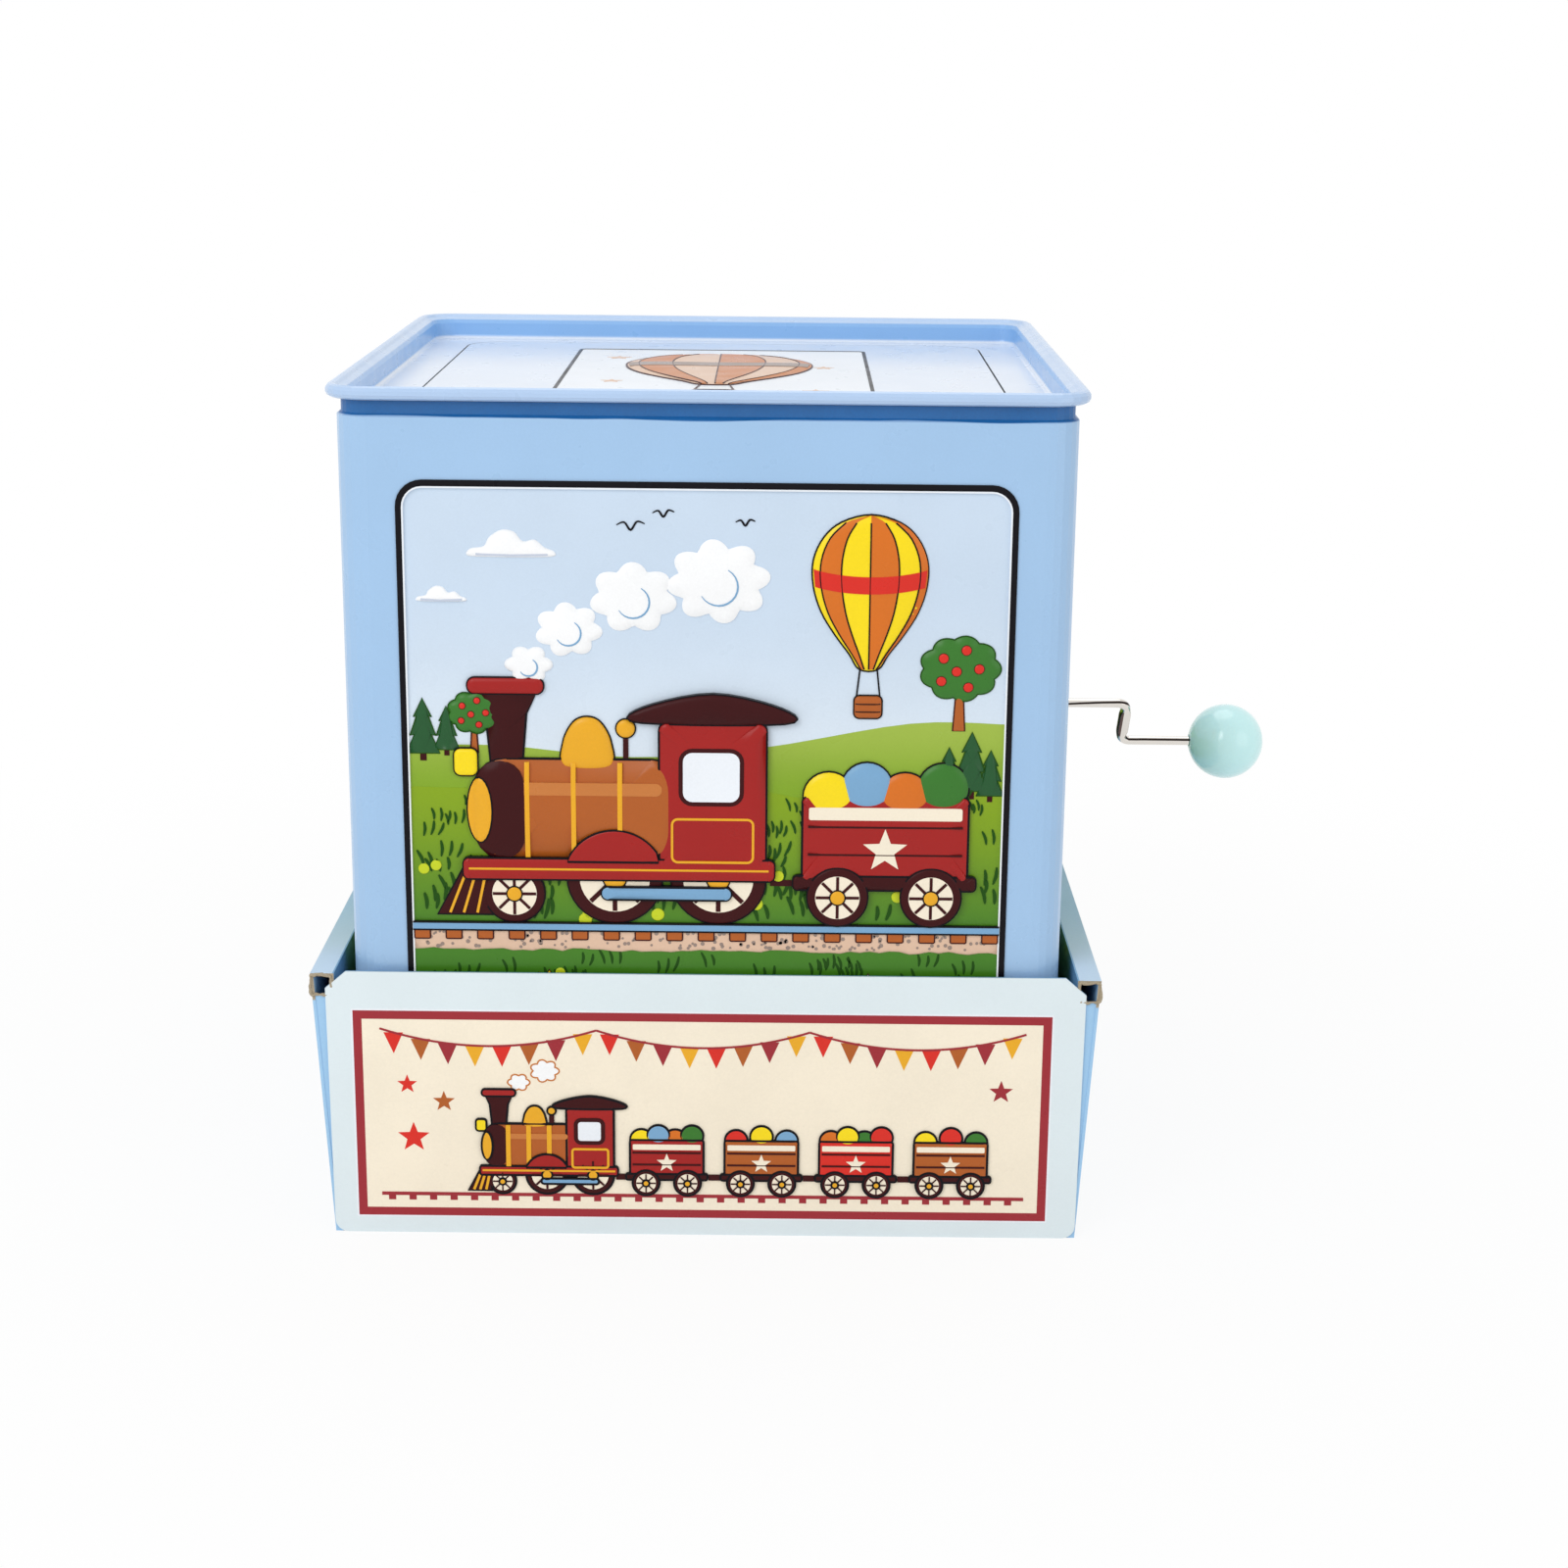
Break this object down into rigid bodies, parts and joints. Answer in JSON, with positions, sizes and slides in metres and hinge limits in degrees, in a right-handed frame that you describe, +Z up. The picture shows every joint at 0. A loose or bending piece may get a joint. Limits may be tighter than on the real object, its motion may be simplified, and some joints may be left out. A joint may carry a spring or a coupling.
{
  "type": "jack-in-the-box",
  "caption": "Square tin jack-in-the-box with a hand crank on its right side, a worm-driven music drum, a latched lid and a sprung plush figure, standing in a folded card tray.",
  "frame": {"origin": "centre of the display tray's underside, on the surface that the toy stands on", "axes": "+X to the right, towards the crank; +Y to the back, towards the lid's hinge; +Z up"},
  "size_m": [0.1932, 0.1408, 0.1648],
  "materials": {
    "tray_card": "printed card, satin",
    "blue_tin": "printed tinplate, gloss",
    "pale_tin": "printed tinplate, gloss",
    "bare_tin": "bare tinplate, satin",
    "steel": "plated steel, satin",
    "chrome_wire": "plated wire, bright",
    "brass": "plain brass, satin",
    "white_plastic": "moulded plastic, satin",
    "aqua_plastic": "moulded plastic, glossy",
    "black_plastic": "moulded plastic, glossy",
    "tan_plush": "short plush pile",
    "cream_plush": "short plush pile",
    "red_cloth": "brushed cloth",
    "blue_cloth": "thin pleated cloth"
  },
  "bodies": {
    "tray": {"display_tray": "tray_card"},
    "tin": {"tin_case": "blue_tin", "base_panel": "bare_tin", "top_frame": "blue_tin", "hinge_lug_left": "bare_tin", "hinge_lug_right": "bare_tin", "hinge_pin": "steel", "movement_frame": "steel", "movement_rivet_1": "steel", "movement_rivet_2": "steel", "movement_rivet_3": "steel", "movement_rivet_4": "steel", "comb": "steel", "comb_base": "steel", "comb_clamp": "brass", "comb_screw_1": "brass", "comb_screw_2": "brass", "crank_bush": "white_plastic", "crank_support": "steel", "latch_pivot": "steel", "spring_post": "steel", "latch_spring": "steel", "spring_cup": "bare_tin", "figure_spring": "steel", "figure_sleeve": "blue_cloth"},
    "crank": {"crank_wire": "chrome_wire", "crank_worm": "white_plastic", "crank_retainer": "steel"},
    "knob": {"crank_knob": "aqua_plastic"},
    "drum": {"music_drum": "brass", "drum_gear": "white_plastic", "release_cam": "white_plastic", "drum_axle": "steel", "axle_clip_front": "steel", "axle_clip_back": "steel"},
    "lid": {"lid_panel": "pale_tin", "lid_catch": "steel"},
    "latch": {"latch_lever": "steel"},
    "figure": {"figure_plate": "white_plastic", "figure_torso": "red_cloth", "figure_head": "tan_plush", "figure_muzzle": "cream_plush", "figure_nose": "black_plastic", "figure_ear_right": "tan_plush", "figure_ear_left": "tan_plush", "figure_eye_right": "black_plastic", "figure_eye_left": "black_plastic", "figure_arm_right": "tan_plush", "figure_arm_left": "tan_plush", "bow_tie": "red_cloth"}
  },
  "joints": [
    {"name": "tin_lift", "type": "slide", "parent": "tray", "child": "tin", "axis": [0, 0, 1], "range_m": [0, 0.06]},
    {"name": "crank_turn", "type": "hinge", "parent": "tin", "child": "crank", "pos_m": [0.08715, 0, 0.0909], "axis": [1, 0, 0], "continuous": true},
    {"name": "knob_spin", "type": "hinge", "parent": "crank", "child": "knob", "pos_m": [0.1098, 0.00788, 0.08081], "axis": [1, 0, 0], "continuous": true},
    {"name": "drum_turn", "type": "hinge", "parent": "tin", "child": "drum", "pos_m": [0.0525, 0, 0.0769], "axis": [0, 1, 0], "continuous": true},
    {"name": "figure_rise", "type": "slide", "parent": "tin", "child": "figure", "axis": [0, 0, 1], "range_m": [0, 0.0959], "deforming": ["figure_spring", "figure_sleeve"]},
    {"name": "lid_swing", "type": "hinge", "parent": "tin", "child": "lid", "pos_m": [0, 0.0475, 0.1566], "axis": [-1, 0, 0], "range_deg": [0, 110]},
    {"name": "latch_swing", "type": "hinge", "parent": "tin", "child": "latch", "pos_m": [0.055, -0.0384, 0.12], "axis": [0, 1, 0], "range_deg": [0, 10], "stiffness_Nm_per_rad": 0.004, "springref_deg": -5.73, "deforming": ["latch_spring"]}
  ],
  "couplings": [
    {"joint": "drum_turn", "follows": "crank_turn", "ratio": 0.05},
    {"joint": "lid_swing", "follows": "figure_rise", "rad_per_m": 20}
  ]
}
